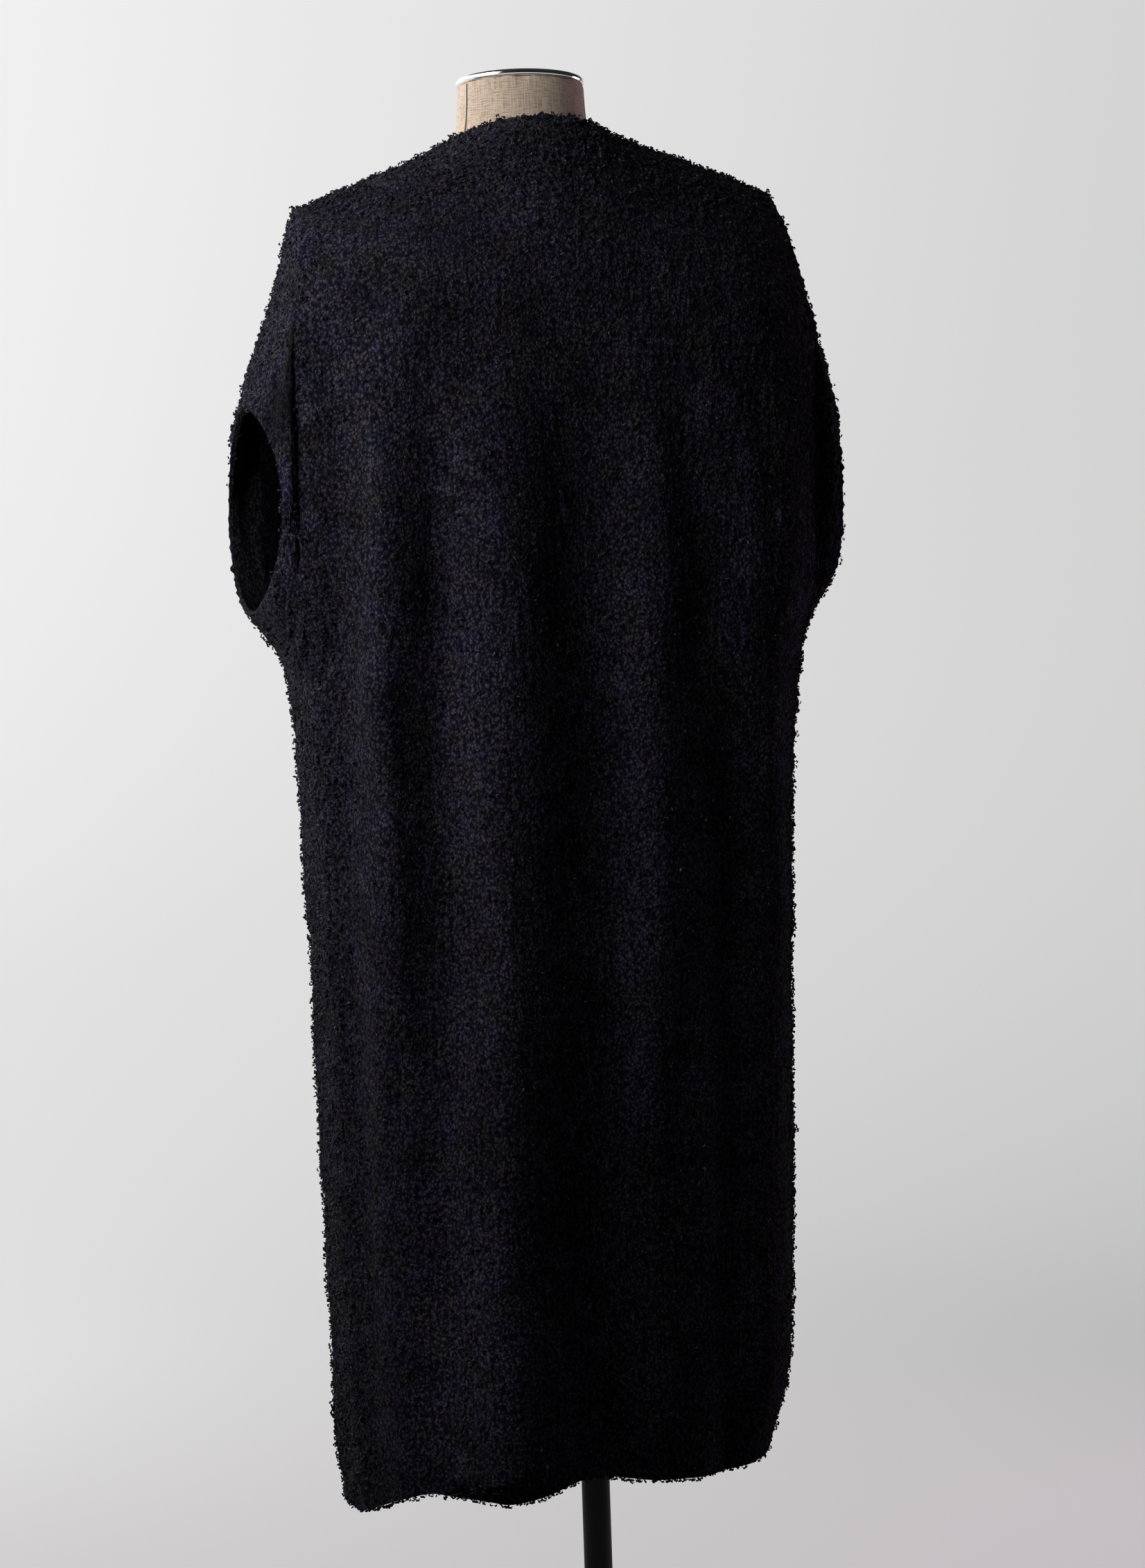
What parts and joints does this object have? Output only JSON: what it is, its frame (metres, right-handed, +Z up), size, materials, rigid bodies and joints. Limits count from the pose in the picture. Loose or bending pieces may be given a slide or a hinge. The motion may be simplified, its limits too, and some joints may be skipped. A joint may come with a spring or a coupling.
{
  "type": "short-sleeve cardigan on a dress form stand",
  "caption": "Long open-front boucle knit cardigan with short wide sleeves, hanging on a limbless dress form with a round base.",
  "frame": {"origin": "on the floor under the pole's axis, at the middle of the base plate's underside", "axes": "+Z up along the pole, -Y the garment's front, +X the wearer's left"},
  "size_m": [0.534, 0.37, 1.5663],
  "materials": {
    "boucle_knit": "looped boucle, matt",
    "linen_cover": "plain woven linen",
    "bright_cap": "polished",
    "black_stand": "satin black"
  },
  "bodies": {
    "root": {"back_panel": "boucle_knit", "left_front": "boucle_knit", "right_front": "boucle_knit", "left_sleeve": "boucle_knit", "right_sleeve": "boucle_knit", "torso": "linen_cover", "neck_cap": "bright_cap", "pole_socket": "black_stand", "pole": "black_stand", "pole_collar": "black_stand", "base_plate": "black_stand"}
  },
  "joints": []
}
